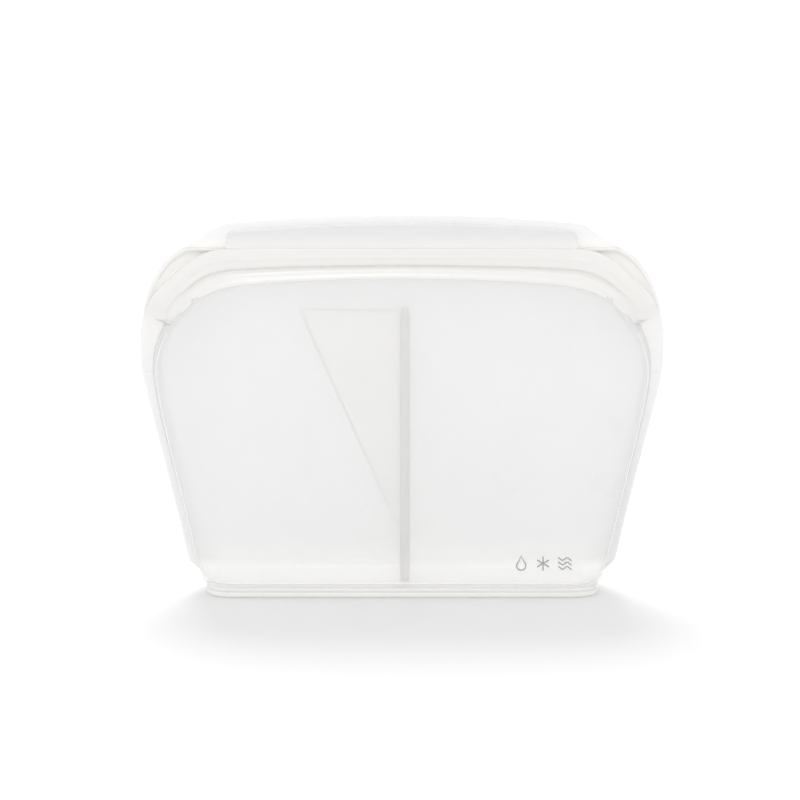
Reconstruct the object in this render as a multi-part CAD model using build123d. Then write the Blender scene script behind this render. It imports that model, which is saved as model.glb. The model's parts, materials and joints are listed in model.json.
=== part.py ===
from build123d import *
import math
import os

# Divided stand-up silicone storage bag, in millimetres.
# +X is the bag's right as its user sees it, -Y is its front, +Z is up.
# The origin is on the surface the bag stands on, under the middle of the base.

# Base: a shallow tray with a rounded rectangular plan, standing on a raised rim.
FOOT_HALF_X = 86.5
FOOT_HALF_Y = 22.0
FOOT_CORNER = 13.0
FOOT_RIM_WIDTH = 3.0
FOOT_TOP_Z = 2.6
FLOOR_THICKNESS = 2.0
TRAY_BULGE = 1.0
TRAY_TOP_Z = 20.0
TRAY_HALF_X = 91.0
TRAY_HALF_Y = 20.6

# Walls: flat panels that lean in from the tray to the mouth.
WALL = 2.0
PANEL_TOP_Z = 138.0
PANEL_TOP_OUTER_Y = 3.2
PANEL_TOP_CORNER_Z = 134.0
PANEL_TOP_CORNER_X = 76.0
PANEL_TOP_SAG = 1.0
MOVING_GAP = 0.4
CORNER_SHARE = 0.6
CORNER_MIDDLE = math.radians(45)

# Side levels: height, widest point of the side wall, root of the seam, outer edge of the seam.
SIDE_LEVELS = (
    (20.0, 91.0, 91.8, 95.7),
    (60.0, 99.8, 102.0, 105.6),
    (92.0, 107.2, 109.4, 113.6),
    (98.0, 108.2, 110.2, 114.6),
    (107.0, 106.6, 108.8, 115.0),
    (118.0, 101.2, 104.4, 114.4),
    (129.0, 92.4, 97.4, 112.2),
)
SEAM_HALF_Y = 1.4
SEAM_ROOT_WIDTH = 2.2
SEAM_FOOT = (91.6, 13.0)
SEAM_FOOT_OUTER = (94.0, 14.2)

# Seal band: straight along the mouth, then a bend down to the end of the seam.
BAND_TOP_Z = 151.5
BAND_FOOT_Z = 129.4
BEND_X = 79.0
BEND_RADIUS = 20.0
BEND_SWEEP = math.radians(45)
FRONT_BAND_Y = (0.3, 3.0)
BACK_BAND_Y = (0.3, 3.6)
BACK_CORNER = ((112.1, 129.4), (106.6, 142.0), (96.0, 151.5))

# Two sealing ribs on the front band press into two grooves in the back band.
RIB_INSETS = (2.6, 6.4)
RIB_WIDTH = 1.4
RIB_HEIGHT = 1.7
RIB_END_Z = 131.0
GROOVE_CLEARANCE = 0.5
GROOVE_FLOOR_Y = 2.4

# Pull lips above the band; the back one is taller and longer, so that fingers can part them.
LIP_GAP = 0.3
LIP_Y = (0.4, 2.2)
LIP_CROWN_RADIUS = 780.0
FRONT_LIP_TOP_Z = 162.5
FRONT_LIP_HALF_X = 77.0
BACK_LIP_TOP_Z = 165.9
BACK_LIP_HALF_X = 93.5
BACK_TAB_HALF_X = 81.5
LIP_CORNER = 3.0

# Divider: a web across the base, and a membrane of two leaves that folds to the left.
WEB_THICKNESS = 1.6
ROOT_WIDTH = 4.8
ROOT_DEPTH = 1.2
ROOT_ANGLE = 90
ROOT_FOOT_Z = 21.0
ROOT_TOP_Z = 126.0
LEAF_GAP = 0.25
LEAF_THICKNESS = 1.0
LEAF_REACH = 45.0
LEAF_FOOT_Z = 24.0
LEAF_TIP_Z = 123.5
LEAF_TOP_Z = 124.6
LEAF_TIP_ROUND = 1.5

# Wider than the bag, for slabs that are then cut to an outline.
CUTTING_HALF_X = 120.0


def outer_y(z):
    """Distance of a wall's outer face from the middle plane at a height."""
    lean = (TRAY_HALF_Y - PANEL_TOP_OUTER_Y) / (PANEL_TOP_Z - TRAY_TOP_Z)
    return TRAY_HALF_Y - lean * (z - TRAY_TOP_Z)


def corner_radius(z):
    """Plan radius where a wall turns into its side, smaller as the bag gets thinner."""
    return CORNER_SHARE * outer_y(z)


def upright_face(half_curves):
    """A face in the XZ plane from the right half of its outline."""
    right = Curve() + half_curves
    left = mirror(right, about=Plane.YZ)
    return make_face(Plane.XZ * (right + left))


def flat_half(points):
    """Straight half-outline edges through a list of (x, z) points."""
    return [Line(a, b) for a, b in zip(points, points[1:])]


def slab(face, near_y, far_y):
    """The upright face thickened from one depth to another."""
    return extrude(Pos(0, near_y, 0) * face, amount=far_y - near_y, dir=(0, 1, 0))


def leaning_prism(near, far, foot_z, top_z, half_x):
    """A slab parallel to the back wall, between two distances inward from its outer face."""
    points = [
        (outer_y(foot_z) - near, foot_z),
        (outer_y(top_z) - near, top_z),
        (outer_y(top_z) - far, top_z),
        (outer_y(foot_z) - far, foot_z),
    ]
    profile = make_face(Plane.YZ * Polyline(*points, close=True))
    return extrude(Pos(-half_x, 0, 0) * profile, amount=2 * half_x, dir=(1, 0, 0))


def to_front(shape):
    """The mirror image of a back piece, for the front."""
    return mirror(shape, about=Plane.XZ)


def to_left(shape):
    """The mirror image of a right piece, for the left."""
    return mirror(shape, about=Plane.YZ)


def tray_section(half_x, half_y, radius, z):
    return Pos(0, 0, z) * RectangleRounded(2 * half_x, 2 * half_y, radius)


def tray_loft(inset, foot_z):
    """The tray's outer shape, moved in by an inset."""
    bulge = TRAY_BULGE - inset
    low = tray_section(FOOT_HALF_X + bulge, FOOT_HALF_Y + bulge, FOOT_CORNER - inset, foot_z)
    top_radius = corner_radius(TRAY_TOP_Z) - inset
    top = tray_section(TRAY_HALF_X - inset, TRAY_HALF_Y - inset, top_radius, TRAY_TOP_Z)
    return loft([low, top])


def base_foot_rim():
    outer = RectangleRounded(2 * FOOT_HALF_X, 2 * FOOT_HALF_Y, FOOT_CORNER)
    inner_x = FOOT_HALF_X - FOOT_RIM_WIDTH
    inner_y = FOOT_HALF_Y - FOOT_RIM_WIDTH
    inner = RectangleRounded(2 * inner_x, 2 * inner_y, FOOT_CORNER - FOOT_RIM_WIDTH)
    return extrude(outer - inner, amount=FOOT_TOP_Z, dir=(0, 0, 1))


def base_floor():
    inset = WALL - TRAY_BULGE
    plate = tray_section(FOOT_HALF_X - inset, FOOT_HALF_Y - inset, FOOT_CORNER - WALL, FOOT_TOP_Z)
    floor = extrude(plate, amount=FLOOR_THICKNESS, dir=(0, 0, 1))
    return floor & tray_loft(WALL, FOOT_TOP_Z)


def base_tray_wall():
    return tray_loft(0, FOOT_TOP_Z) - tray_loft(WALL, FOOT_TOP_Z)


def divider_lower_web():
    floor_top = FOOT_TOP_Z + FLOOR_THICKNESS
    depth = 2 * (FOOT_HALF_Y + TRAY_BULGE)
    web = Box(WEB_THICKNESS, depth, TRAY_TOP_Z - floor_top)
    return Pos(0, 0, (floor_top + TRAY_TOP_Z) / 2) * web & tray_loft(WALL, FOOT_TOP_Z)


def right_side_seam():
    inner = [(root - SEAM_ROOT_WIDTH, z) for z, _, root, _ in SIDE_LEVELS]
    outer = [(edge, z) for z, _, _, edge in reversed(SIDE_LEVELS)]
    outline = Polyline(*inner, *outer, SEAM_FOOT_OUTER, SEAM_FOOT, close=True)
    flange = slab(make_face(Plane.XZ * outline), -SEAM_HALF_Y, SEAM_HALF_Y)
    return flange - tray_loft(0, FOOT_TOP_Z)


def wing_section(z, widest, root):
    """The rounded corner of the back wall at one height, from the panel's edge to the seam."""
    depth = outer_y(z)
    radius = corner_radius(z)
    bend = math.sin(CORNER_MIDDLE)
    skin = min(WALL, radius / 2)
    inner = radius - skin
    middle_x = widest - radius
    middle_y = depth - radius
    points = [
        (middle_x, depth),
        (middle_x + radius * bend, middle_y + radius * bend),
        (widest, middle_y),
        (root, SEAM_HALF_Y),
        (root - SEAM_ROOT_WIDTH, SEAM_HALF_Y),
        (widest - skin, middle_y),
        (middle_x + inner * bend, middle_y + inner * bend),
        (middle_x, depth - skin),
    ]
    return make_face(Pos(0, 0, z) * Polyline(*points, close=True))


def right_back_wing():
    sections = [wing_section(z, widest, root) for z, widest, root, _ in SIDE_LEVELS]
    return loft(sections, ruled=True)


def panel_side_x(z, widest):
    """Edge of the flat panel at a height, a moving gap inside the wing."""
    return widest - corner_radius(z) - MOVING_GAP


def crowned_face(foot_z, side):
    """An upright face from a foot height, up its side points, to the panel's crowned top edge."""
    corner = (PANEL_TOP_CORNER_X, PANEL_TOP_CORNER_Z)
    middle = (PANEL_TOP_CORNER_X / 2, PANEL_TOP_Z - PANEL_TOP_SAG)
    crown = ThreePointArc(corner, middle, (0, PANEL_TOP_Z))
    half = flat_half([(0, foot_z), *side, corner])
    return upright_face([*half, crown])


def back_panel():
    foot_z = TRAY_TOP_Z + MOVING_GAP
    _, foot_widest, _, _ = SIDE_LEVELS[0]
    side = [(panel_side_x(TRAY_TOP_Z, foot_widest), foot_z)]
    side += [(panel_side_x(z, widest), z) for z, widest, _, _ in SIDE_LEVELS[1:]]
    sheet = leaning_prism(0, WALL, TRAY_TOP_Z, PANEL_TOP_Z, CUTTING_HALF_X)
    return slab(crowned_face(foot_z, side), 0, TRAY_HALF_Y + WALL) & sheet


def bend_curves(inset, foot_z):
    """The band's upper edge moved down by an inset, from the end of the seam to the middle."""
    radius = BEND_RADIUS - inset
    slope = math.sin(BEND_SWEEP)
    centre_z = BAND_TOP_Z - BEND_RADIUS
    bend_end = (BEND_X + radius * slope, centre_z + radius * slope)
    middle_x = BEND_X + radius * math.sin(BEND_SWEEP / 2)
    middle_z = centre_z + radius * math.cos(BEND_SWEEP / 2)
    bend_start = (BEND_X, centre_z + radius)
    low_end = (bend_end[0] + bend_end[1] - foot_z, foot_z)
    return [
        Line((0, foot_z), low_end),
        Line(low_end, bend_end),
        ThreePointArc(bend_end, (middle_x, middle_z), bend_start),
        Line(bend_start, (0, bend_start[1])),
    ]


def rib_strip(inset, width, near_y, far_y):
    """A strip that follows the mouth at an inset below the band's upper edge."""
    above = upright_face(bend_curves(inset - width / 2, RIB_END_Z))
    below = upright_face(bend_curves(inset + width / 2, RIB_END_Z))
    return slab(above, near_y, far_y) - slab(below, near_y, far_y)


def panel_cutter():
    """Everything below the panel's top edge, which the bands end on."""
    top_z, top_widest, _, _ = SIDE_LEVELS[-1]
    side_x = panel_side_x(top_z, top_widest)
    foot_z = BAND_FOOT_Z - WALL
    return slab(crowned_face(foot_z, [(side_x, foot_z), (side_x, top_z)]), -TRAY_HALF_Y, TRAY_HALF_Y)


def front_seal_band():
    outline = upright_face(bend_curves(0, BAND_FOOT_Z))
    near, far = FRONT_BAND_Y
    return slab(outline, -far, -near) - panel_cutter()


def front_seal_ribs():
    face_y = -FRONT_BAND_Y[0]
    ribs = [rib_strip(inset, RIB_WIDTH, face_y, face_y + RIB_HEIGHT) for inset in RIB_INSETS]
    return Compound(children=ribs)


def back_seal_band():
    low, middle, high = BACK_CORNER
    half = [
        Line((0, low[1]), low),
        ThreePointArc(low, middle, high),
        Line(high, (0, high[1])),
    ]
    near, far = BACK_BAND_Y
    band = slab(upright_face(half), near, far) - panel_cutter()
    for inset in RIB_INSETS:
        band -= rib_strip(inset, RIB_WIDTH + 2 * GROOVE_CLEARANCE, 0, GROOVE_FLOOR_Y)
    return band


def back_divider_root():
    strip_height = ROOT_TOP_Z - ROOT_FOOT_Z
    strip = Pos(0, ROOT_FOOT_Z + strip_height / 2) * SlotOverall(strip_height, ROOT_WIDTH, rotation=ROOT_ANGLE)
    sheet = leaning_prism(WALL, WALL + ROOT_DEPTH, ROOT_FOOT_Z, ROOT_TOP_Z, CUTTING_HALF_X)
    return slab(Plane.XZ * strip, 0, TRAY_HALF_Y) & sheet


def divider_back_leaf():
    points = [
        (0, LEAF_FOOT_Z),
        (-LEAF_REACH, LEAF_TIP_Z),
        (-LEAF_REACH + LEAF_TIP_ROUND, LEAF_TOP_Z),
        (0, LEAF_TOP_Z),
    ]
    outline = make_face(Plane.XZ * Polyline(*points, close=True))
    near = WALL + ROOT_DEPTH + LEAF_GAP
    sheet = leaning_prism(near, near + LEAF_THICKNESS, LEAF_FOOT_Z, LEAF_TOP_Z, CUTTING_HALF_X)
    return slab(outline, 0, TRAY_HALF_Y) & sheet


def lip_crown(top_z, half_x):
    """A lip's crowned upper edge, from its end to the middle."""
    def height(x):
        return top_z - x * x / (2 * LIP_CROWN_RADIUS)
    return ThreePointArc((half_x, height(half_x)), (half_x / 2, height(half_x / 2)), (0, top_z))


def lip_face(top_z, root_half_x, top_half_x, corner_drop):
    """A lip's outline: its root on the band, its end, a cut corner and its crowned upper edge."""
    foot_z = BAND_TOP_Z + LIP_GAP
    crown = lip_crown(top_z, top_half_x - LIP_CORNER)
    crown_end = crown @ 0
    end = (top_half_x, crown_end.Y - corner_drop)
    half = flat_half([(0, foot_z), (root_half_x, foot_z), end, (crown_end.X, crown_end.Y)])
    return upright_face([*half, crown])


def front_pull_lip():
    near, far = LIP_Y
    return slab(lip_face(FRONT_LIP_TOP_Z, FRONT_LIP_HALF_X, FRONT_LIP_HALF_X, LIP_CORNER), -far, -near)


def back_pull_lip():
    near, far = LIP_Y
    return slab(lip_face(BACK_LIP_TOP_Z, BACK_LIP_HALF_X, BACK_TAB_HALF_X, LIP_CORNER / 2), near, far)


def build_nodes():
    seam = right_side_seam()
    wing = right_back_wing()
    panel = back_panel()
    root = back_divider_root()
    leaf = divider_back_leaf()
    return {
        "base_foot_rim": base_foot_rim(),
        "base_floor": base_floor(),
        "base_tray_wall": base_tray_wall(),
        "divider_lower_web": divider_lower_web(),
        "right_side_seam": seam,
        "left_side_seam": to_left(seam),
        "right_back_wing": wing,
        "left_back_wing": to_left(wing),
        "right_front_wing": to_front(wing),
        "left_front_wing": to_left(to_front(wing)),
        "back_panel": panel,
        "front_panel": to_front(panel),
        "back_seal_band": back_seal_band(),
        "front_seal_band": front_seal_band(),
        "front_seal_ribs": front_seal_ribs(),
        "back_divider_root": root,
        "front_divider_root": to_front(root),
        "divider_back_leaf": leaf,
        "divider_front_leaf": to_front(leaf),
        "back_pull_lip": back_pull_lip(),
        "front_pull_lip": front_pull_lip(),
    }


os.makedirs("parts", exist_ok=True)
for name, shape in build_nodes().items():
    export_step(shape, f"parts/{name}.step")
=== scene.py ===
"""A divided, stand-up silicone storage bag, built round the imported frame: soft translucent walls, side seams,
a press seal, pull lips and a folded divider. Shapes are in millimetres, in the part's own frame."""
import json
import math

import bpy
import numpy as np
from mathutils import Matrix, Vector


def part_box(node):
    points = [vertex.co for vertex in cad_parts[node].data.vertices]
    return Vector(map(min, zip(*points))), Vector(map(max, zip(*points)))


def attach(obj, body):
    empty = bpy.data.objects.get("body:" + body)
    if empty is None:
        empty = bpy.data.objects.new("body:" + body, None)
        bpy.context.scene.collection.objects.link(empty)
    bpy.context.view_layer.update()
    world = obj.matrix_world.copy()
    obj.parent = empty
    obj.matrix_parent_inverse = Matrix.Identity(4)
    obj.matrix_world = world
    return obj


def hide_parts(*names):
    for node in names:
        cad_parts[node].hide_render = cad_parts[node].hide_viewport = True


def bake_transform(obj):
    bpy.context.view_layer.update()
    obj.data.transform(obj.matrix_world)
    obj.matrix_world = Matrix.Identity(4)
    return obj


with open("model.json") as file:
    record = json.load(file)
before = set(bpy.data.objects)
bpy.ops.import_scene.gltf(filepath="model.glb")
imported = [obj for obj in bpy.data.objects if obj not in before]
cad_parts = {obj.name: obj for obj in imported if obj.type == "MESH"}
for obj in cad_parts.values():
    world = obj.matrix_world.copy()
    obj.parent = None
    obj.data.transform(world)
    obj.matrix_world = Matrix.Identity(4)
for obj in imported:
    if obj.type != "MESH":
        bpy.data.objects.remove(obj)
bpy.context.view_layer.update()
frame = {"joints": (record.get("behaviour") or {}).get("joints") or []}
MM = 0.001
PER_MM = 1000.0
JOINTS = {joint["name"]: joint for joint in frame["joints"]}


def box_mm(node):
    """A CAD node's lowest and highest corners, in millimetres."""
    low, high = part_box(node)
    return np.array(low) * PER_MM, np.array(high) * PER_MM


# Sizes read from the frame.
FLOOR_LOW, FLOOR_HIGH = box_mm("base_floor")
FOOT_HIGH = box_mm("base_foot_rim")[1]
PANEL_TOP = box_mm("back_panel")[1][2]
BAND_LOW, BAND_HIGH = box_mm("back_seal_band")
LEAF_LOW, LEAF_HIGH = box_mm("divider_back_leaf")
ROOT_LOW, ROOT_HIGH = box_mm("back_divider_root")
FRONT_LIP_HIGH = box_mm("front_pull_lip")[1]
BACK_LIP_HIGH = box_mm("back_pull_lip")[1]
HINGE_Y = abs(JOINTS["front_wall_swing"]["pos_m"][1]) * PER_MM
HINGE_Z = JOINTS["front_wall_swing"]["pos_m"][2] * PER_MM
SWING_DEG = JOINTS["front_wall_swing"]["range_deg"][1]
LEAF_DEG = JOINTS["front_leaf_fold"]["range_deg"][1]
SEAM_TOP = BAND_LOW[2]
BAND_TOP = BAND_HIGH[2]

# Walls: they lean in from the hinge line to the seal and bulge softly between.
WALL = 1.7
PANEL_TOP_Y = 3.2
LEAN = (HINGE_Y - PANEL_TOP_Y) / (PANEL_TOP - HINGE_Z)
BULGE = 2.6
BULGE_SPAN = (30.0, 108.0, 190.0)
CORNER_SHARE = 0.6

# Front view outlines: height against half-width.
WIDEST = (
    (2.6, 86.8), (8.0, 88.2), (20.0, 91.9), (40.0, 96.6), (60.0, 101.3), (75.0, 104.7), (92.0, 107.7),
    (99.0, 108.2), (107.0, 106.6), (118.0, 101.4), (130.0, 91.6),
)
SEAM_ROOT = (
    (2.6, 87.0), (8.0, 88.6), (20.0, 92.5), (40.0, 97.6), (60.0, 102.6), (75.0, 106.2), (92.0, 109.3),
    (99.0, 109.8), (107.0, 108.8), (118.0, 104.4), (130.0, 96.0),
)
SEAM_EDGE = (
    (5.0, 87.6), (7.5, 89.2), (9.6, 91.0), (11.2, 93.0), (12.6, 94.4), (15.0, 95.1), (28.0, 98.0),
    (60.0, 105.6), (92.0, 113.4), (96.5, 114.4), (102.0, 114.9), (107.0, 115.0), (114.0, 114.8),
    (121.0, 113.9), (130.0, 112.0),
)
# The panel's top edge: half-width against height.
PANEL_CROWN = ((0.0, 138.0), (34.0, 137.2), (60.0, 135.8), (76.0, 134.0), (84.0, 131.8), (91.6, 129.4))

# Opening: how far from the bonded side seam, and how high above the base, a wall starts to follow its joint.
FREE_REACH = 25.0
BEND_LOW = 15.0
BEND_HIGH = 30.0

RING_ANGLES = np.radians(np.arange(0, 360, 45))


# ---------------------------------------------------------------- curves and meshes


def smooth_step(t):
    t = np.clip(t, 0.0, 1.0)
    return t * t * (3.0 - 2.0 * t)


def ramp(value, low, high):
    """0 up to a low value, 1 from a high one, and smooth between."""
    return smooth_step((value - low) / (high - low))


def through(points):
    """A smooth function through a list of (position, value) points."""
    places, values = np.array(points, float).T
    slopes = np.gradient(values, places)

    def value(at):
        at = np.clip(np.asarray(at, float), places[0], places[-1])
        i = np.clip(np.searchsorted(places, at, side="right") - 1, 0, len(places) - 2)
        span = places[i + 1] - places[i]
        t = (at - places[i]) / span
        a = (1 + 2 * t) * (1 - t) ** 2
        b = t * (1 - t) ** 2
        c = t * t * (3 - 2 * t)
        d = t * t * (t - 1)
        return a * values[i] + b * span * slopes[i] + c * values[i + 1] + d * span * slopes[i + 1]

    return value


widest_at = through(WIDEST)
seam_root_at = through(SEAM_ROOT)
seam_edge_at = through(SEAM_EDGE)
crown_at = through(PANEL_CROWN)


def wall_depth(z):
    """Distance of a wall's outer face from the middle plane at a height, with its soft bulge."""
    low, peak, top = BULGE_SPAN
    rise = ramp(z, low, peak)
    fall = smooth_step((top - z) / (top - peak))
    return HINGE_Y - LEAN * (z - HINGE_Z) + BULGE * rise * fall


def surface_depth(x, z):
    """Depth of a wall's outer face at a point of the front view, round the vertical corner."""
    depth = wall_depth(z)
    radius = CORNER_SHARE * depth
    past = np.clip(np.abs(x) - (widest_at(z) - radius), 0.0, radius)
    return depth - radius + np.sqrt(radius ** 2 - past ** 2)


def bond_distance(x, z):
    """How far a point of the front view is from the bonded side seam."""
    below = seam_root_at(np.minimum(z, SEAM_TOP)) - np.abs(x)
    end_x = seam_root_at(SEAM_TOP)
    past = np.hypot(np.maximum(end_x - np.abs(x), 0.0), np.maximum(z - SEAM_TOP, 0.0))
    return np.where(z > SEAM_TOP, past, np.maximum(below, 0.0))


def opening_weight(x, z):
    """0 where a wall stays with the base and its seams, 1 where it swings fully."""
    across = smooth_step(bond_distance(x, z) / FREE_REACH)
    return across * ramp(z, BEND_LOW, BEND_HIGH)


def unit(vectors):
    return vectors / np.linalg.norm(vectors, axis=1)[:, None]


def line_through(corners):
    """A smooth line through (x, z) corners: its length, and a function for its points at distances along."""
    corners = np.array(corners, float)
    along = np.concatenate([[0], np.cumsum(np.hypot(*np.diff(corners, axis=0).T))])
    x_at = through(np.stack([along, corners[:, 0]], axis=1))
    z_at = through(np.stack([along, corners[:, 1]], axis=1))
    return along[-1], lambda at: np.stack([x_at(at), z_at(at)], axis=1)


def both_halves(right):
    """Rows on the bag's right, with their mirror images put in front of them."""
    return np.concatenate([right[:0:-1] * (-1, 1, 1), right])


def ring_rows(line, first, second, sizes):
    """Rings of points round a line, in the plane of two unit directions at each point."""
    cosines = np.cos(RING_ANGLES)[None, :, None]
    sines = np.sin(RING_ANGLES)[None, :, None]
    round_line = cosines * first[:, None] + sines * second[:, None]
    return line[:, None] + np.reshape(sizes, (-1, 1, 1)) * round_line


def linked_object(name, points, faces):
    """A piece in the scene from points in millimetres."""
    mesh = bpy.data.meshes.new(name)
    mesh.from_pydata((np.reshape(points, (-1, 3)) * MM).tolist(), [], faces)
    mesh.validate()
    piece = bpy.data.objects.new(name, mesh)
    bpy.context.scene.collection.objects.link(piece)
    return piece


def grid_mesh(name, points, close_rows=False, caps=False):
    """A piece from a grid of points, rows by columns."""
    points = np.asarray(points, float)
    rows, columns = points.shape[:2]
    faces = []
    wrap = columns if close_rows else columns - 1
    for i in range(rows - 1):
        for j in range(wrap):
            k = (j + 1) % columns
            faces.append((i * columns + j, i * columns + k, (i + 1) * columns + k, (i + 1) * columns + j))
    if caps:
        faces.append(tuple(range(columns))[::-1])
        faces.append(tuple((rows - 1) * columns + j for j in range(columns)))
    return linked_object(name, points, faces)


def finish_mesh(piece, material, thickness=0.0, levels=1):
    """Smooth shading, a wall thickness, subdivision and a material."""
    bpy.context.view_layer.objects.active = piece
    piece.select_set(True)
    bpy.ops.object.mode_set(mode="EDIT")
    bpy.ops.mesh.select_all(action="SELECT")
    bpy.ops.mesh.normals_make_consistent(inside=False)
    bpy.ops.object.mode_set(mode="OBJECT")
    piece.select_set(False)
    piece.data.polygons.foreach_set("use_smooth", [True] * len(piece.data.polygons))
    if thickness:
        shell = piece.modifiers.new("wall", "SOLIDIFY")
        shell.thickness = thickness * MM
        shell.offset = -1.0
        shell.use_even_offset = True
        shell.use_quality_normals = True
    if levels:
        smooth = piece.modifiers.new("smooth", "SUBSURF")
        smooth.levels = levels
        smooth.render_levels = levels
    piece.data.materials.append(material)


def set_weights(piece, weight):
    """Bakes a piece's placement and works out a weight from each point, in millimetres; the weights are not
    stored on the piece.
    """
    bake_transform(piece)
    places = np.array([v.co for v in piece.data.vertices], float) * PER_MM
    values = weight(places).astype(np.float32)


def follow_wall(piece):
    """A piece of the front or back wall: its weights are worked out, 0 at the seams and the tray, 1 at the
    mouth.
    """
    set_weights(piece, lambda p: opening_weight(p[:, 0], p[:, 2]))


# ---------------------------------------------------------------- materials


# Noise patterns: scale and detail.
CLOUD = (28.0, 3.0)
GRAIN = (900.0, 2.0)
RIPPLE = (18.0, 1.0)
INK_GRAIN = (700.0, 2.0)
# Reliefs: strength, and depth in metres.
GRAIN_RELIEF = (0.08, 0.0002)
RIPPLE_RELIEF = (0.25, 0.001)
SILICONE_IOR = 1.41
# How much more opaque silicone looks edge on, and how its roughness varies with the clouding.
EDGE_BLEND = 0.35
EDGE_OPACITY = 0.25
SMOOTHER = 0.05
ROUGHER = 0.07


def noise(tree, scale, detail):
    """A noise pattern fixed to the piece."""
    place = tree.nodes.new("ShaderNodeTexCoord")
    texture = tree.nodes.new("ShaderNodeTexNoise")
    texture.inputs["Scale"].default_value = scale
    texture.inputs["Detail"].default_value = detail
    tree.links.new(place.outputs["Object"], texture.inputs["Vector"])
    return texture.outputs["Fac"]


def mapped(tree, value, from_min, from_max, to_min, to_max, kind="LINEAR"):
    """A value carried from one range to another."""
    node = tree.nodes.new("ShaderNodeMapRange")
    node.interpolation_type = kind
    node.inputs["From Min"].default_value = from_min
    node.inputs["From Max"].default_value = from_max
    node.inputs["To Min"].default_value = to_min
    node.inputs["To Max"].default_value = to_max
    tree.links.new(value, node.inputs["Value"])
    return node.outputs["Result"]


def mixed_colour(tree, factor, start, end):
    """A colour between two others; the first may also be another node's output."""
    mix = tree.nodes.new("ShaderNodeMix")
    mix.data_type = "RGBA"
    if isinstance(start, tuple):
        mix.inputs["A"].default_value = (*start, 1)
    else:
        tree.links.new(start, mix.inputs["A"])
    mix.inputs["B"].default_value = (*end, 1)
    tree.links.new(factor, mix.inputs["Factor"])
    return mix.outputs["Result"]


def bump(tree, height, strength, depth, under=None):
    """A surface relief, on top of another one if given."""
    node = tree.nodes.new("ShaderNodeBump")
    node.inputs["Strength"].default_value = strength
    node.inputs["Distance"].default_value = depth
    tree.links.new(height, node.inputs["Height"])
    if under:
        tree.links.new(under, node.inputs["Normal"])
    return node.outputs["Normal"]


def height_share(tree, full, gone):
    """1 up to a height on the bag, falling to 0 at another, in millimetres."""
    place = tree.nodes.new("ShaderNodeTexCoord")
    split = tree.nodes.new("ShaderNodeSeparateXYZ")
    tree.links.new(place.outputs["Object"], split.inputs["Vector"])
    return mapped(tree, split.outputs["Z"], gone * MM, full * MM, 0.0, 1.0, "SMOOTHSTEP")


def silicone(name, colour, opacity, roughness, glow=0.35, mottle=0.03, low_colour=None, low_heights=None):
    """Milky translucent silicone: a satin skin with faint clouding and grain, and a little light through it.
    A low colour fills the piece up to the first of its heights and has faded out at the second."""
    material = bpy.data.materials.new(name)
    material.use_nodes = True
    tree = material.node_tree
    tree.nodes.clear()
    cloud = noise(tree, *CLOUD)
    tint = mixed_colour(tree, cloud, tuple(c * (1 - mottle) for c in colour), colour)
    if low_colour:
        tint = mixed_colour(tree, height_share(tree, *low_heights), tint, low_colour)
    ripple = bump(tree, noise(tree, *RIPPLE), *RIPPLE_RELIEF)
    relief = bump(tree, noise(tree, *GRAIN), *GRAIN_RELIEF, ripple)
    satin = mapped(tree, cloud, 0.0, 1.0, roughness - SMOOTHER, roughness + ROUGHER)
    skin = tree.nodes.new("ShaderNodeBsdfPrincipled")
    skin.inputs["IOR"].default_value = SILICONE_IOR
    tree.links.new(tint, skin.inputs["Base Color"])
    tree.links.new(satin, skin.inputs["Roughness"])
    tree.links.new(relief, skin.inputs["Normal"])
    through_light = tree.nodes.new("ShaderNodeBsdfTranslucent")
    tree.links.new(tint, through_light.inputs["Color"])
    body = tree.nodes.new("ShaderNodeMixShader")
    body.inputs["Fac"].default_value = glow
    tree.links.new(skin.outputs["BSDF"], body.inputs[1])
    tree.links.new(through_light.outputs["BSDF"], body.inputs[2])
    clear = tree.nodes.new("ShaderNodeBsdfTransparent")
    facing = tree.nodes.new("ShaderNodeLayerWeight")
    facing.inputs["Blend"].default_value = EDGE_BLEND
    edge_opacity = min(1.0, opacity + EDGE_OPACITY)
    cover = mapped(tree, facing.outputs["Facing"], 0.0, 1.0, opacity, edge_opacity)
    seen = tree.nodes.new("ShaderNodeMixShader")
    tree.links.new(cover, seen.inputs["Fac"])
    tree.links.new(clear.outputs["BSDF"], seen.inputs[1])
    tree.links.new(body.outputs["Shader"], seen.inputs[2])
    out = tree.nodes.new("ShaderNodeOutputMaterial")
    tree.links.new(seen.outputs["Shader"], out.inputs["Surface"])
    return material


def print_ink():
    """Soft grey ink, slightly uneven where it soaked into the moulding's grain."""
    material = bpy.data.materials.new("grey_print")
    material.use_nodes = True
    tree = material.node_tree
    skin = tree.nodes["Principled BSDF"]
    skin.inputs["Roughness"].default_value = 0.55
    ink = mixed_colour(tree, noise(tree, *INK_GRAIN), (0.36, 0.36, 0.355), (0.46, 0.46, 0.455))
    tree.links.new(ink, skin.inputs["Base Color"])
    return material


WARM = (0.935, 0.927, 0.912)
LIP_BLEND = (152.0, 158.0)
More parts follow.
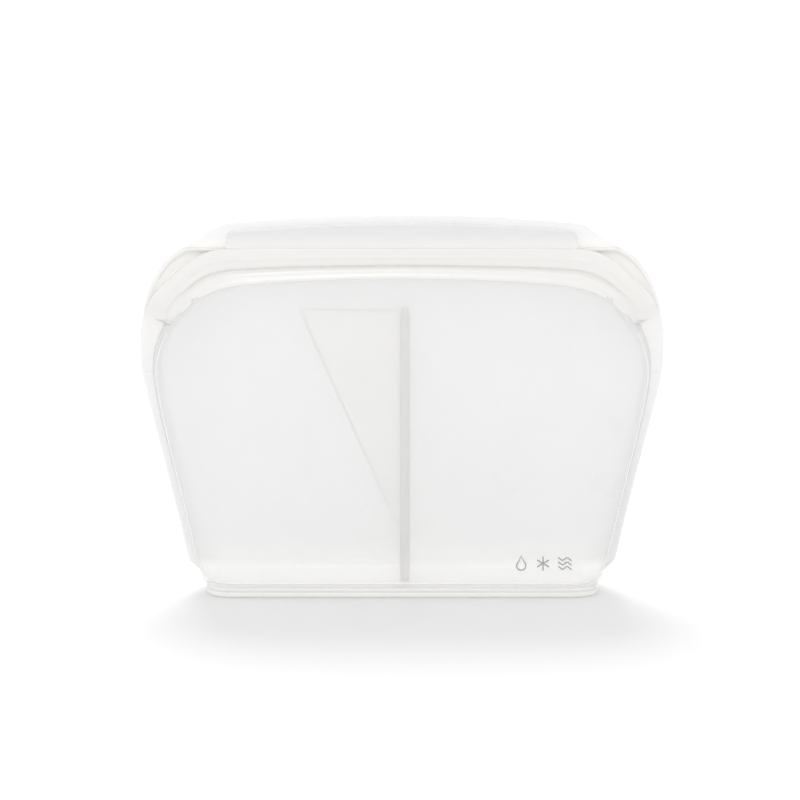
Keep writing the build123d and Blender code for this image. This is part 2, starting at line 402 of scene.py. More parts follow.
# The wall's low colour is partly painted light: it turns the wall whiter towards its foot, fully below 13 mm
# and fading out by 18.5 mm. This is a painted brightening of the bright band along the foot, where the floor's
# shade falls; the thicker silicone at the foot is the real part of it.
WALL_SILICONE = silicone(
    "wall_silicone", (0.9, 0.9, 0.901), 0.5, 0.28, low_colour=(1.0, 0.998, 0.99), low_heights=(13.0, 18.5)
)
BAND_SILICONE = silicone(
    "band_silicone", WARM, 0.93, 0.2, glow=0.12, low_colour=(0.925, 0.923, 0.92), low_heights=(100.0, 128.0)
)
FRONT_LIP_SILICONE = silicone(
    "front_lip_silicone", (0.88, 0.88, 0.883), 0.86, 0.2, glow=0.15, low_colour=WARM, low_heights=LIP_BLEND
)
BACK_LIP_SILICONE = silicone(
    "back_lip_silicone", (0.9, 0.9, 0.907), 0.74, 0.2, glow=0.4, low_colour=WARM, low_heights=LIP_BLEND
)
LEAF_SILICONE = silicone("leaf_silicone", (0.998, 0.992, 0.975), 0.2, 0.4, glow=0.85, mottle=0.005)
ROOT_SILICONE = silicone("root_silicone", (0.86, 0.855, 0.845), 0.75, 0.24, glow=0.2)
FLOOR_SILICONE = silicone("floor_silicone", (0.995, 0.995, 0.99), 0.85, 0.34, mottle=0.01)
FOOT_SILICONE = silicone("foot_silicone", (0.985, 0.978, 0.966), 0.85, 0.2, glow=0.15)
PRINT_GREY = print_ink()


# ---------------------------------------------------------------- walls


BOTTOM_ROUND = 3.0
BOTTOM_TURN_IN = 1.5
SHELL_FOOT_Z = FOOT_HIGH[2] + 1.2
ARCH_FOOT_Z = 96.0
UNDER_BAND = 1.3
FLAT_STEPS = 16
CORNER_STEPS = 10
BOTTOM_STEPS = 6
SIDE_STEPS = (0.2, 0.4, 0.6, 0.8, 0.93, 1)
# Heights of a wall's rows (first, last, count), closer together where the wall curves.
LOW_ROWS = (9, 30, 8)
MIDDLE_ROWS = (34, 94, 16)
TOP_ROWS = (97, SEAM_TOP, 15)


def half_section(z, inset):
    """The right half of a wall's plan at one height, from the middle to the side: (x, depth) points."""
    depth = wall_depth(z) - inset
    widest = widest_at(z) - inset
    root = seam_root_at(z) - inset
    radius = CORNER_SHARE * wall_depth(z)
    flat_end = widest - radius
    side_foot = depth - radius
    flat = [(flat_end * i / FLAT_STEPS, depth) for i in range(FLAT_STEPS)]
    turn = np.radians(np.linspace(90, 0, CORNER_STEPS))
    corner = [(flat_end + radius * math.cos(a), side_foot + radius * math.sin(a)) for a in turn]
    side = [(widest + (root - widest) * smooth_step(t), side_foot * (1 - t)) for t in SIDE_STEPS]
    return np.array(flat + corner + side)


def shell_rows():
    """(height at the side, inset) of each row of a wall shell, from the rounded bottom edge to the seal."""
    rows = [(SHELL_FOOT_Z, BOTTOM_ROUND + BOTTOM_TURN_IN)]
    for angle in np.radians(np.linspace(90, 0, BOTTOM_STEPS)):
        rise = BOTTOM_ROUND * (1 - math.sin(angle))
        rows.append((SHELL_FOOT_Z + rise, BOTTOM_ROUND * (1 - math.cos(angle))))
    for first, last, count in (LOW_ROWS, MIDDLE_ROWS, TOP_ROWS):
        rows += [(z, 0.0) for z in np.linspace(first, last, count)]
    return rows


def wall_shell(side, sign):
    """The front or back wall with its rounded corners and the half of the tray below it, in one skin."""
    corner_x, corner_z = PANEL_CROWN[-1]
    rows = []
    for z, inset in shell_rows():
        x, flat_depth = half_section(z, inset).T
        arch = ramp(z, ARCH_FOOT_Z, SEAM_TOP)
        crown = np.maximum(crown_at(np.minimum(x, corner_x)) - corner_z, 0.0)
        heights = z + arch * (crown + UNDER_BAND)
        lean = (wall_depth(heights) - wall_depth(z)) * smooth_step(flat_depth / wall_depth(z))
        rows.append(both_halves(np.stack([x, sign * (flat_depth + lean), heights], axis=1)))
    piece = grid_mesh(side + "_wall_shell", rows)
    finish_mesh(piece, WALL_SILICONE, thickness=WALL)
    follow_wall(piece)
    return piece


front_shell = wall_shell("front", -1)
back_shell = wall_shell("back", 1)
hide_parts("front_panel", "left_front_wing", "right_front_wing", "base_tray_wall")
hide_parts("back_panel", "left_back_wing", "right_back_wing")


# ---------------------------------------------------------------- side seams


FLANGE_TUCK = 0.7
# The crease crosses the flange at its widest bend.
CREASE_Z = 96.5
CREASE_DEPTH = 0.35
CREASE_PINCH = 0.45
CREASE_SPREAD = 0.6
PINCH_SPREAD = 0.5
FLANGE_NARROWER = 0.5
FLANGE_NARROW_Z = (121.0, 127.0)
FLANGE_THINNER = 0.6
FLANGE_THIN_Z = (120.0, 127.0)
# Half of the flange's section, across it from its root to its rim: share of its width, half thickness.
FLANGE_SECTION = (
    (0.0, 1.5), (0.12, 1.3), (0.3, 1.12), (0.6, 1.05), (0.82, 1.1), (0.93, 0.95), (0.985, 0.5), (1.0, 0.0),
)
# Row heights of a side seam, closest together at its foot and at the crease.
FLANGE_HEIGHTS = np.concatenate([
    np.linspace(5.5, 14.5, 13),
    np.linspace(17, CREASE_Z - 2, 26),
    CREASE_Z + np.array((-0.9, -0.4, 0.0, 0.4, 0.9)),
    np.linspace(CREASE_Z + 2, SEAM_TOP - 2.0, 14),
])


def side_seam(side, sign):
    """The flat bonded flange down one side, with a rounded foot, a soft rim and a crease."""
    loop = list(FLANGE_SECTION) + [(t, -y) for t, y in FLANGE_SECTION[-2::-1]]
    rows = []
    for z in FLANGE_HEIGHTS:
        inner = seam_root_at(z) - FLANGE_TUCK
        edge = seam_edge_at(z) - FLANGE_NARROWER * ramp(z, *FLANGE_NARROW_Z)
        edge -= CREASE_DEPTH * math.exp(-((z - CREASE_Z) / CREASE_SPREAD) ** 2)
        pinch = 1 - CREASE_PINCH * math.exp(-((z - CREASE_Z) / PINCH_SPREAD) ** 2)
        pinch *= 1 - FLANGE_THINNER * ramp(z, *FLANGE_THIN_Z)
        rows.append([(sign * (inner + (edge - inner) * t), y * pinch, z) for t, y in loop])
    piece = grid_mesh(side + "_side_seam_flange", rows, close_rows=True, caps=True)
    finish_mesh(piece, BAND_SILICONE)
    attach(piece, "base")
    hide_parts(side + "_side_seam")


for side, sign in (("left", -1), ("right", 1)):
    side_seam(side, sign)


# ---------------------------------------------------------------- edge beads


BEAD_HEIGHTS = (121.0, 117.0, 112.0, 105.0, 97.0, 88.0, 74.0, 58.0, 42.0, 28.0, 19.0)
BEAD_BOTTOM = ((88.3, 11.6), (84.6, 8.2), (78.0, 6.9), (66.0, 6.6), (40.0, 6.6), (0.0, 6.6))
BEAD_INSET_SHARE = 0.1
BEAD_RADIUS = 0.62
BEAD_SUNK = 0.2
BEAD_SPACING = 1.6
BEAD_END_SHARE = 0.25
BEAD_TAPER_POINTS = 8
SLOPE_STEP = 0.05


def wall_normals(x, z):
    """Unit directions out of a wall's outer face at points of the front view."""
    slope_x = (surface_depth(x + SLOPE_STEP, z) - surface_depth(x - SLOPE_STEP, z)) / (2 * SLOPE_STEP)
    slope_z = (surface_depth(x, z + SLOPE_STEP) - surface_depth(x, z - SLOPE_STEP)) / (2 * SLOPE_STEP)
    return unit(np.stack([-slope_x, np.ones_like(x), -slope_z], axis=1))


def edge_bead(side, sign):
    """The fine moulded bead that frames a wall: down both sides and across the bottom."""
    inset = BEAD_INSET_SHARE * CORNER_SHARE
    sides = [(float(widest_at(z)) - inset * wall_depth(z), z) for z in BEAD_HEIGHTS]
    length, points_at = line_through(sides + list(BEAD_BOTTOM))
    half = points_at(np.linspace(0, length, int(length / BEAD_SPACING) + 1))
    x, z = np.concatenate([half, half[-2::-1] * (-1, 1)]).T
    centre = np.stack([x, surface_depth(x, z), z], axis=1)
    out = wall_normals(x, z)
    across = np.cross(unit(np.gradient(centre, axis=0)), out)
    from_end = np.minimum(np.arange(len(x)), np.arange(len(x))[::-1])
    sizes = BEAD_RADIUS * smooth_step(BEAD_END_SHARE + from_end / BEAD_TAPER_POINTS)
    rows = ring_rows(centre - BEAD_SUNK * out, out, across, sizes) * (1, sign, 1)
    piece = grid_mesh(side + "_wall_edge_bead", rows, close_rows=True, caps=True)
    finish_mesh(piece, BAND_SILICONE)
    follow_wall(piece)


edge_bead("front", -1)
edge_bead("back", 1)


# ---------------------------------------------------------------- print


PRINT_LIFT = 0.14
PRINT_THICKNESS = 0.06
ICON_Z = 15.4
ICON_X = {"drop": 52.0, "flake": 61.5, "waves": 71.0}
STROKE = 0.55
DROP_RADIUS = 2.0
DROP_ANGLES = np.radians(np.linspace(-230, 50, 21))
DROP_TIP = 3.2
DROP_CENTRE = -0.9
FLAKE_REACH = 3.0
FLAKE_ANGLES = np.radians((30, 90, 150))
WAVE_LEVELS = (-1.9, 0.0, 1.9)
WAVE_STATIONS = np.linspace(-3.0, 3.0, 19)
WAVE_HEIGHT = 0.6
WAVE_TURN = 1.6


def stroke(points, closed=False):
    """Quads of an even pen line along (x, z) points."""
    points = np.array(points, float)
    ahead = np.roll(points, -1, axis=0)
    behind = np.roll(points, 1, axis=0)
    if not closed:
        ahead[-1] = points[-1]
        behind[0] = points[0]
    along = unit(ahead - behind)
    side = np.stack([-along[:, 1], along[:, 0]], axis=1) * STROKE / 2
    count = len(points)
    corners = np.concatenate([points + side, points - side])
    last = count if closed else count - 1
    faces = [(i, (i + 1) % count, count + (i + 1) % count, count + i) for i in range(last)]
    return corners, faces


def drop_strokes():
    """A water drop: a round bowl drawn up to a point."""
    bowl = [(DROP_RADIUS * math.cos(a), DROP_CENTRE + DROP_RADIUS * math.sin(a)) for a in DROP_ANGLES]
    return [([(0.0, DROP_TIP)] + bowl, True)]


def flake_strokes():
    """A snowflake: three crossed lines."""
    arms = []
    for angle in FLAKE_ANGLES:
        tip = np.array((FLAKE_REACH * math.cos(angle), FLAKE_REACH * math.sin(angle)))
        arms.append(([-tip, tip], False))
    return arms


def wave_strokes():
    """Steam: three waved lines."""
    lines = []
    for level in WAVE_LEVELS:
        points = [(t, level + WAVE_HEIGHT * math.sin(WAVE_TURN * t)) for t in WAVE_STATIONS]
        lines.append((points, False))
    return lines


def care_print(kind, pen_lines):
    """One small grey care symbol printed low on the front wall."""
    corners, faces = [], []
    for points, closed in pen_lines:
        line, quads = stroke(points, closed)
        faces += [tuple(len(corners) + i for i in quad) for quad in quads]
        x = ICON_X[kind] + line[:, 0]
        z = ICON_Z + line[:, 1]
        corners += np.stack([x, -surface_depth(x, z) - PRINT_LIFT, z], axis=1).tolist()
    piece = linked_object("print_" + kind, corners, faces)
    finish_mesh(piece, PRINT_GREY, thickness=PRINT_THICKNESS, levels=0)
    follow_wall(piece)


care_print("drop", drop_strokes())
care_print("flake", flake_strokes())
care_print("waves", wave_strokes())


# ---------------------------------------------------------------- seal bands


# Front view lines from the middle to the side seam: half-width against height.
FRONT_BAND_EDGE = (
    (0.0, 151.5), (40.0, 151.5), (70.0, 151.4), (79.0, 151.1), (86.0, 149.6), (93.0, 145.8),
    (101.0, 138.6), (106.6, 133.6), (110.6, 128.4), (113.2, 121.5),
)
BACK_BAND_EDGE = (
    (0.0, 151.5), (40.0, 151.5), (70.0, 151.5), (84.0, 151.5), (91.0, 152.1), (94.4, 152.1),
    (98.0, 150.5), (102.7, 147.0), (106.6, 142.0), (110.2, 135.4), (112.5, 128.4), (113.7, 121.5),
)
BAND_INNER = (
    (0.0, 138.0), (34.0, 137.2), (60.0, 135.8), (76.0, 134.0), (84.0, 131.6), (89.6, 128.2),
    (94.4, 123.6), (98.8, 117.9),
)
# A band's section: share of the way up it, against depth past the top of the wall.
OUTER_PROFILE = (
    (0.0, 1.35), (0.03, 1.62), (0.07, 1.82), (0.115, 1.8), (0.16, 1.5), (0.195, 1.22), (0.225, 0.95),
    (0.25, 0.92), (0.285, 0.86), (0.325, 0.55), (0.365, 0.15), (0.385, -0.85), (0.42, -1.4), (0.455, -1.2),
    (0.472, -0.15), (0.51, 0.0), (0.64, -0.05), (0.68, 0.22), (0.72, 0.42), (0.76, 0.22), (0.8, -0.05),
    (0.9, -0.1), (0.96, -0.2), (1.0, -0.4),
)
# Its inner face, back down from the top: two ribs on the front band, two grooves in the back one.
FRONT_INNER = (
    (1.0, 0.35), (0.87, 0.3), (0.86, -1.0), (0.84, -1.4), (0.79, -1.4), (0.77, -1.0), (0.76, 0.3),
    (0.6, 0.3), (0.59, -1.0), (0.57, -1.4), (0.52, -1.4), (0.5, -1.0), (0.49, 0.3), (0.3, 0.3),
    (0.12, 0.5), (0.0, 1.5),
)
BACK_INNER = (
    (1.0, 0.35), (0.9, 0.3), (0.895, 1.5), (0.87, 2.0), (0.76, 2.0), (0.735, 1.5), (0.73, 0.3),
    (0.63, 0.3), (0.625, 1.5), (0.6, 2.0), (0.49, 2.0), (0.465, 1.5), (0.46, 0.3), (0.3, 0.3),
    (0.12, 0.5), (0.0, 1.5),
)
STRAIGHT_END = 70.0
FINE_STATIONS = 400
BAND_STATIONS = 34
# Along half a band: where it starts to flatten, and to tuck in, on its way to the side seam.
FLATTEN_FROM = 0.7
TUCK_FROM = 0.9
TUCK = 0.75
FLAT_OUTSIDE = 1.2
FLAT_INSIDE = 0.25
# Across a band: it follows the wall below up to the first share, and its faces are flat past the others.
FOLLOW_SHARE = 0.4
OUTSIDE_SHARE = 0.5
INSIDE_SHARE = 0.2
# Its upper edge thins a little where no lip stands on it.
BARE_EDGE_X = (75.0, 83.0)
BARE_EDGE_SHARE = (0.93, 1.0)
BARE_EDGE_DROP = 0.6


def path_points(corners):
    """Points along the straight stretch of a band's line, and as many again round its bend."""
    length, points_at = line_through(corners)
    fine = np.linspace(0, length, FINE_STATIONS)
    split = fine[np.searchsorted(points_at(fine)[:, 0], STRAIGHT_END)]
    straight = np.linspace(0, split, BAND_STATIONS, endpoint=False)
    bend = np.linspace(split, length, BAND_STATIONS)
    return points_at(np.concatenate([straight, bend]))


def seal_band(side, sign, edge_line, inner_profile):
    """One half of the press seal: a stepped band that follows the mouth and bends down to the side seam."""
    inner = path_points(BAND_INNER)
    outer = path_points(edge_line)
    along = np.linspace(0, 1, len(inner))[:, None]
    flatten = ramp(along, FLATTEN_FROM, 1.0)
    tuck = TUCK * ramp(along, TUCK_FROM, 1.0)
    lift = (surface_depth(*inner.T) - surface_depth(*inner[0]))[:, None]
    bare = ramp(outer[:, :1], *BARE_EDGE_X)

    t, y = np.array(OUTER_PROFILE).T
    outside = PANEL_TOP_Y + y + lift * (1 - smooth_step(t / FOLLOW_SHARE))
    outside -= BARE_EDGE_DROP * bare * ramp(t, *BARE_EDGE_SHARE)
    outside += (FLAT_OUTSIDE - outside) * flatten * smooth_step(t / OUTSIDE_SHARE) - tuck
    back_t, back_y = np.array(inner_profile).T
    inside = back_y + (FLAT_INSIDE - back_y) * flatten * smooth_step(back_t / INSIDE_SHARE)

    shares = np.concatenate([t, back_t])[:, None]
    in_view = inner[:, None] + (outer - inner)[:, None] * shares
    depths = np.concatenate([outside, inside], axis=1)
    right = np.stack([in_view[..., 0], sign * depths, in_view[..., 1]], axis=2)
    piece = grid_mesh(side + "_seal_band_profile", both_halves(right), close_rows=True, caps=True)
    finish_mesh(piece, BAND_SILICONE)
    follow_wall(piece)
    return piece


front_band = seal_band("front", -1, FRONT_BAND_EDGE, FRONT_INNER)
back_band = seal_band("back", 1, BACK_BAND_EDGE, BACK_INNER)
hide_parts("front_seal_band", "front_seal_ribs")
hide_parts("back_seal_band")


# ---------------------------------------------------------------- pull lips


# A lip's section, up its outer face, round its rolled edge and down: share of its height, depth.
LIP_PROFILE = (
    (0.0, 2.6), (0.06, 2.65), (0.14, 2.45), (0.28, 2.05), (0.55, 1.85), (0.75, 1.85), (0.85, 2.0),
    (0.91, 2.15), (0.955, 2.1), (0.985, 1.75), (1.0, 1.25), (0.985, 0.75), (0.955, 0.5), (0.9, 0.4),
    (0.7, 0.45), (0.4, 0.45), (0.12, 0.45), (0.0, 0.7),
)
CROWN_RADIUS = 780.0
LIP_ROOT_Z = BAND_TOP - 0.5
LEAST_LIP = 0.3
LIP_BEND = 4.0
LIP_STEPS = 26
LIP_END = 12.0
LIP_END_STEPS = 14
LIP_END_CROWDING = 1.4
FRONT_LIP_CORNER = 3.2
# The back lip's long sloping end, half-width against height, and the length over which its flex fades.
BACK_LIP_SLOPE = (
    (76.0, 162.2), (79.0, 161.7), (81.7, 160.4), (84.2, 158.4), (89.8, 154.8), (93.6, 152.7), (96.6, 150.9),
)
BACK_LIP_REACH = 2.6
BACK_LIP_STILL = 16.0
back_slope_at = through(BACK_LIP_SLOPE)


def front_lip_height(x):
    crown = FRONT_LIP_HIGH[2] - x * x / (2 * CROWN_RADIUS)
    past = max(0.0, x - (FRONT_LIP_HIGH[0] - FRONT_LIP_CORNER))
    return crown - (FRONT_LIP_CORNER - math.sqrt(max(0.0, FRONT_LIP_CORNER ** 2 - past ** 2)))


def back_lip_height(x):
    crown = BACK_LIP_HIGH[2] - x * x / (2 * CROWN_RADIUS)
    return crown if x < BACK_LIP_SLOPE[0][0] else float(min(crown, back_slope_at(x)))


def pull_lip(side, sign, half_x, height_at, still_end, material):
    """A pull lip: a thin crowned flap with a rolled upper edge, rooted on its seal band.
    Its weight fades out over the length of its still end."""
    turn = np.radians(np.linspace(0, 90, LIP_END_STEPS))
    x_values = np.concatenate([
        np.linspace(0, half_x - LIP_END, LIP_STEPS, endpoint=False),
        half_x - LIP_END * np.cos(turn) ** LIP_END_CROWDING,
    ])
    rows = []
    for x in x_values:
        height = max(height_at(x) - LIP_ROOT_Z, LEAST_LIP)
        rows.append([(x, sign * y, LIP_ROOT_Z + height * t) for t, y in LIP_PROFILE])
    piece = grid_mesh(side + "_pull_lip_flap", both_halves(np.array(rows)), close_rows=True, caps=True)
    finish_mesh(piece, material)

    def flex(p):
        up = smooth_step((p[:, 2] - BAND_TOP) / LIP_BEND)
        return up * smooth_step((half_x - np.abs(p[:, 0])) / still_end) if still_end else up

    set_weights(piece, flex)
    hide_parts(side + "_pull_lip")


pull_lip("front", -1, FRONT_LIP_HIGH[0], front_lip_height, 0.0, FRONT_LIP_SILICONE)
pull_lip("back", 1, BACK_LIP_HIGH[0] + BACK_LIP_REACH, back_lip_height, BACK_LIP_STILL, BACK_LIP_SILICONE)


# ---------------------------------------------------------------- divider


DIVIDER_X = 1.2
ROOT_HALF = 0.9 * (ROOT_HIGH[0] - ROOT_LOW[0]) / 2
ROOT_FOOT_Z = SHELL_FOOT_Z + 3.0
ROOT_STEPS = 30
ROOT_END_ANGLES = np.radians(np.linspace(15, 88, 7))
ROOT_OUTSIDE = WALL + 0.2
# The rib's section: share of its half-width, and how far in from the wall's inner face.
ROOT_SECTION = (
    (-0.9, -ROOT_OUTSIDE + 0.12), (-0.6, -ROOT_OUTSIDE), (0.6, -ROOT_OUTSIDE), (0.9, -ROOT_OUTSIDE + 0.12),
    (1.0, -WALL + 0.3), (1.0, 0.0), (0.96, 0.6), (0.75, 1.0), (0.35, 1.35), (0.0, 1.7), (-0.35, 1.35),
    (-0.75, 1.0), (-0.96, 0.6), (-1.0, 0.0), (-1.0, -WALL + 0.3),
)
# The folded leaves: thickness, how far in from the wall they start, and the soft bow of their long ends.
LEAF = 0.9
LEAF_ROOT_IN = 1.5
LEAF_FOOT_Z = LEAF_LOW[2] + 0.6
LEAF_GRID = (34, 18)
LEAF_BOW = 0.6
BOWED_REACH = 20.0
LEAST_REACH = 0.001
MOST_TURN = 1.6
# The crease between them and the rolled bead along it.
CREASE_GAP = 0.2
FOLD_BEAD = 0.6
FOLD_BEAD_START = 0.06
FOLD_BEAD_FOOT_Z = LEAF_LOW[2] + 4.0
FOLD_BEAD_STEPS = (16, 40)
# The web across the base, with its flared ends.
WEB_HEIGHTS = np.linspace(FLOOR_HIGH[2] - 0.2, LEAF_LOW[2] + 1.5, 12)
WEB_HALF = 0.8
WEB_FLARE = 1.6
WEB_FLARE_POWER = 8
WEB_END_GAP = 0.3
WEB_COLUMNS = 11


def root_rib(side, sign):
    """The thick rib on a wall's inner face that the divider grows from."""
    end_z = ROOT_HIGH[2] - ROOT_HALF
    straight = np.linspace(ROOT_FOOT_Z, end_z, ROOT_STEPS)
    rounded = ROOT_HIGH[2] - ROOT_HALF * (1 - np.sin(ROOT_END_ANGLES))
    rows = []
    for z in np.concatenate([straight, rounded]):
        above = max(0.0, z - end_z) / ROOT_HALF
        half = ROOT_HALF * math.sqrt(max(0.0, 1 - above ** 2))
        face = wall_depth(z) - WALL
        rows.append([(DIVIDER_X + half * a, sign * (face - b), z) for a, b in ROOT_SECTION])
    piece = grid_mesh(side + "_divider_root_rib", rows, close_rows=True, caps=True)
    finish_mesh(piece, ROOT_SILICONE)
    follow_wall(piece)
    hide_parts(side + "_divider_root")


def leaf_tip(z):
    """How far the folded divider reaches from its root at a height."""
    reach = -LEAF_LOW[0] * (z - LEAF_LOW[2]) / (LEAF_HIGH[2] - LEAF_LOW[2])
    return np.maximum(reach, 0.0)


def leaf_root_depth(z):
    return wall_depth(z) - WALL - LEAF_ROOT_IN


def leaf_line(z, t):
    """A point of the folded divider at a height, from its root (t = 0) to its crease (t = 1): x, depth."""
    root = leaf_root_depth(z)
    return DIVIDER_X - (leaf_tip(z) + DIVIDER_X) * t, root + (CREASE_GAP - root) * t


def leaf_weight(p):
    """How much of its joint's turn each height of a leaf makes, so that the fold comes out straight."""
    z = p[:, 2]
    reach = np.maximum(leaf_tip(z), LEAST_REACH)
    rest = leaf_root_depth(z)
    opened = rest + (z - HINGE_Z) * math.sin(math.radians(SWING_DEG))
    length = np.hypot(reach, rest)
    turn = np.arcsin(np.minimum(opened / length, 1.0)) - np.arctan2(rest, reach)
    return np.clip(turn / math.radians(LEAF_DEG), 0.0, MOST_TURN)


def divider_leaf(side, sign):
    """One half of the folded membrane: from its root on the wall to the crease on the middle plane."""
    row_count, column_count = LEAF_GRID
    rows = []
    for z in np.linspace(LEAF_FOOT_Z, LEAF_HIGH[2], row_count):
        fullness = LEAF_BOW * min(1.0, leaf_tip(z) / BOWED_REACH)
        row = []
        for t in np.linspace(0, 1, column_count):
            x, depth = leaf_line(z, t)
            row.append((x, sign * (depth + fullness * math.sin(math.pi * t)), z))
        rows.append(row)
    piece = grid_mesh("divider_" + side + "_leaf_membrane", rows)
    finish_mesh(piece, LEAF_SILICONE, thickness=LEAF)
    set_weights(piece, leaf_weight)
    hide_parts("divider_" + side + "_leaf")


def fold_bead():
    """The thicker rolled edge of the folded divider: along its top and down its crease."""
    top = LEAF_HIGH[2]
    across_count, down_count = FOLD_BEAD_STEPS
    line = [(*leaf_line(top, t), top) for t in np.linspace(FOLD_BEAD_START, 1, across_count)]
    line += [(-leaf_tip(z), CREASE_GAP, z) for z in np.linspace(top, FOLD_BEAD_FOOT_Z, down_count)[1:]]
    line = np.array(line, float) * (1, -1, 1)
    along = unit(np.gradient(line, axis=0))
    side = unit(np.cross(along, (0.0, 1.0, 0.0)))
    rows = ring_rows(line, side, np.cross(side, along), FOLD_BEAD)
    piece = grid_mesh("divider_fold_bead", rows, close_rows=True, caps=True)
    finish_mesh(piece, ROOT_SILICONE)
    set_weights(piece, leaf_weight)


def lower_web():
    """The part of the divider that crosses the base, below the fold, flared where it meets the walls."""
    t = np.linspace(-1, 1, WEB_COLUMNS)
    half = WEB_HALF * (1 + WEB_FLARE * np.abs(t) ** WEB_FLARE_POWER)
    x = DIVIDER_X + np.concatenate([half, -half[::-1]])
    rows = []
    for z in WEB_HEIGHTS:
        y = (wall_depth(z) - WALL - WEB_END_GAP) * t
        rows.append(np.stack([x, np.concatenate([y, y[::-1]]), np.full_like(x, z)], axis=1))
    piece = grid_mesh("divider_base_web", rows, close_rows=True, caps=True)
    finish_mesh(piece, LEAF_SILICONE)
    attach(piece, "base")
    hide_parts("divider_lower_web")


for side, sign in (("front", -1), ("back", 1)):
    root_rib(side, sign)
    divider_leaf(side, sign)
fold_bead()
lower_web()


# ---------------------------------------------------------------- base


# The foot's section: how far out from the foot's plan size, against height.
FOOT_SECTION = (
    (-1.2, 0.0), (-0.45, 0.12), (-0.05, 0.55), (0.05, 1.15), (-0.1, 1.75), (-0.5, 2.15), (-0.75, 2.4),
    (-0.5, 2.65), (-0.15, 3.05), (-0.05, 3.55), (-0.2, 4.05), (-0.7, 4.45), (-1.4, 4.6), (-2.6, 4.5),
    (-3.2, 3.6), (-3.3, 2.4), (-3.2, 1.0), (-2.8, 0.2), (-2.0, 0.0),
)
FOOT_CORNER = 13.0
# The floor pan's loops: how far in from its half-width and half-depth, corner radius, height.
FLOOR_LOOPS = (
    (2.0, 2.0, 10.0, 0.0), (0.6, 0.6, 11.0, 0.2), (0.0, 0.0, 11.5, 1.0), (-0.2, -0.2, 11.5, 1.9),
    (1.0, 1.0, 10.5, 2.0), (6.0, 5.0, 8.0, 1.7),
)
QUARTERS = ((1, 1), (-1, 1), (-1, -1), (1, -1))
QUARTER_STEPS = 9


def plan_loop(half_x, half_y, radius, z):
    """A closed rounded rectangle in plan."""
    points = []
    for quarter, (sx, sy) in enumerate(QUARTERS):
        for angle in np.radians(np.linspace(0, 90, QUARTER_STEPS) + 90 * quarter):
            x = sx * (half_x - radius) + radius * math.cos(angle)
            y = sy * (half_y - radius) + radius * math.sin(angle)
            points.append((x, y, z))
    return points


def foot_rim():
    """The rounded double bead that the bag stands on."""
    half_x, half_y, _ = FOOT_HIGH
    rows = [plan_loop(half_x + out, half_y + out, FOOT_CORNER + out, z) for out, z in FOOT_SECTION]
    rows.append(rows[0])
    piece = grid_mesh("base_foot_bead", rows, close_rows=True)
    finish_mesh(piece, FOOT_SILICONE)
    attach(piece, "base")
    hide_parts("base_foot_rim")


def floor_pan():
    """The floor between the walls, slightly dished on top."""
    half_x, half_y, _ = FLOOR_HIGH
    rows = []
    for in_x, in_y, radius, z in FLOOR_LOOPS:
        rows.append(plan_loop(half_x - in_x, half_y - in_y, radius, FLOOR_LOW[2] + z))
    piece = grid_mesh("base_floor_pan", rows, close_rows=True, caps=True)
    finish_mesh(piece, FLOOR_SILICONE)
    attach(piece, "base")
    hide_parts("base_floor")


foot_rim()
floor_pan()


# ---------------------------------------------------------------- stage


STAGE_REACH_MM = 40000.0
# The sky's strength changes between two upward shares of the direction.
SKY_HEIGHTS = (0.05, 0.45)
SKY_STRENGTHS = (1.09, 0.88)
# The camera's view, in metres; its sensor is in millimetres.
VIEW_HEIGHT = 0.3525
CAMERA_DISTANCE = 1.15
CAMERA_ELEVATION = math.radians(8)
CAMERA_TARGET = (-0.0009, 0.0, 0.0844)
SENSOR = 36.0


def stage_floor():
    """A white floor that reaches the horizon."""
    corners = [(x * STAGE_REACH_MM, y * STAGE_REACH_MM, 0) for x, y in ((-1, -1), (1, -1), (1, 1), (-1, 1))]
    floor = linked_object("stage_floor", corners, [(0, 1, 2, 3)])
    material = bpy.data.materials.new("stage_white")
    material.use_nodes = True
    skin = material.node_tree.nodes["Principled BSDF"]
    skin.inputs["Base Color"].default_value = (0.92, 0.92, 0.92, 1)
    skin.inputs["Roughness"].default_value = 0.7
    skin.inputs["Specular IOR Level"].default_value = 0.2
    floor.data.materials.append(material)


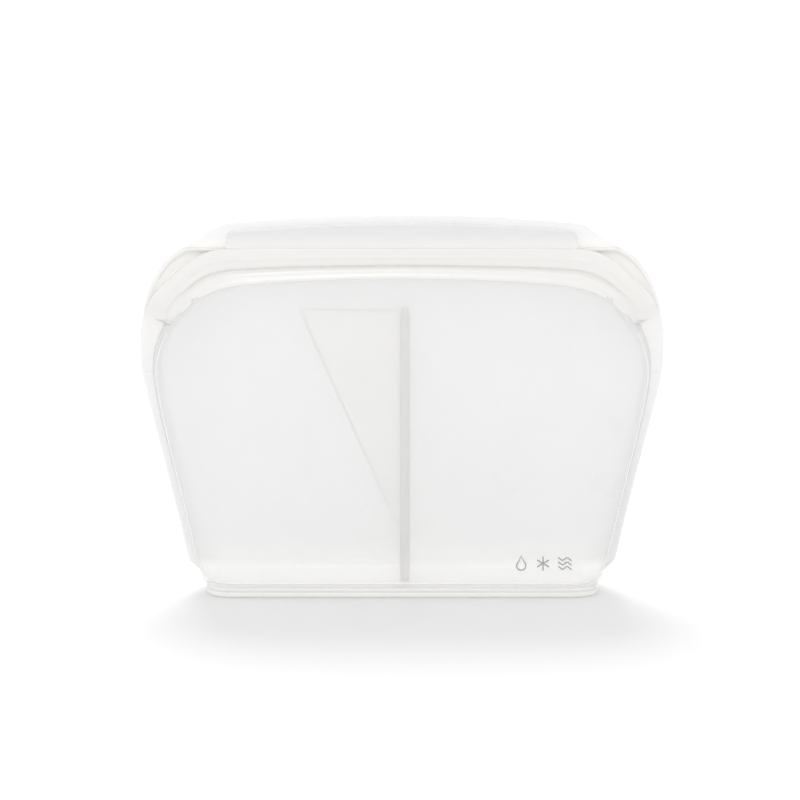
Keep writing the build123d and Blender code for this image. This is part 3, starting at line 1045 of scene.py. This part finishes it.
def sky():
    """White at the horizon and a little dimmer overhead."""
    world = bpy.data.worlds.new("studio")
    bpy.context.scene.world = world
    world.use_nodes = True
    tree = world.node_tree
    background = tree.nodes["Background"]
    background.inputs["Color"].default_value = (1, 1, 1, 1)
    place = tree.nodes.new("ShaderNodeTexCoord")
    split = tree.nodes.new("ShaderNodeSeparateXYZ")
    tree.links.new(place.outputs["Generated"], split.inputs["Vector"])
    strength = mapped(tree, split.outputs["Z"], *SKY_HEIGHTS, *SKY_STRENGTHS)
    tree.links.new(strength, background.inputs["Strength"])


def sun(name, direction, strength, spread, lit=None):
    """A soft distant light along a direction, so many degrees wide, that may light only some pieces."""
    data = bpy.data.lights.new(name, "SUN")
    data.energy = strength
    data.angle = math.radians(spread)
    light = bpy.data.objects.new(name, data)
    light.rotation_euler = Vector(direction).to_track_quat("-Z", "Y").to_euler()
    bpy.context.scene.collection.objects.link(light)
    if lit:
        group = bpy.data.collections.new(name + "_receivers")
        for piece in lit:
            group.objects.link(piece)
        light.light_linking.receiver_collection = group


def camera():
    """A long lens, a little above the bag and square to its front."""
    data = bpy.data.cameras.new("camera")
    data.sensor_width = SENSOR
    data.lens = SENSOR * CAMERA_DISTANCE / VIEW_HEIGHT
    data.clip_start = 0.01
    eye = bpy.data.objects.new("camera", data)
    back = Vector((0, -math.cos(CAMERA_ELEVATION), math.sin(CAMERA_ELEVATION)))
    eye.location = Vector(CAMERA_TARGET) + back * CAMERA_DISTANCE
    eye.rotation_euler = (-back).to_track_quat("-Z", "Y").to_euler()
    bpy.context.scene.collection.objects.link(eye)
    bpy.context.scene.camera = eye


bag_pieces = [piece for piece in bpy.context.scene.objects if piece.type == "MESH"]
stage_floor()
sky()
sun("back_light", (0.1, -1.0, -1.1), 1.25, 30)
sun("front_light", (0.08, 0.9, -1.0), 0.48, 12, bag_pieces)
camera()
bpy.context.scene.view_settings.view_transform = "Standard"
bpy.context.scene.cycles.transparent_max_bounces = 48
bpy.context.scene.cycles.max_bounces = 24
bpy.context.scene.cycles.diffuse_bounces = 16
bpy.context.scene.cycles.transmission_bounces = 16
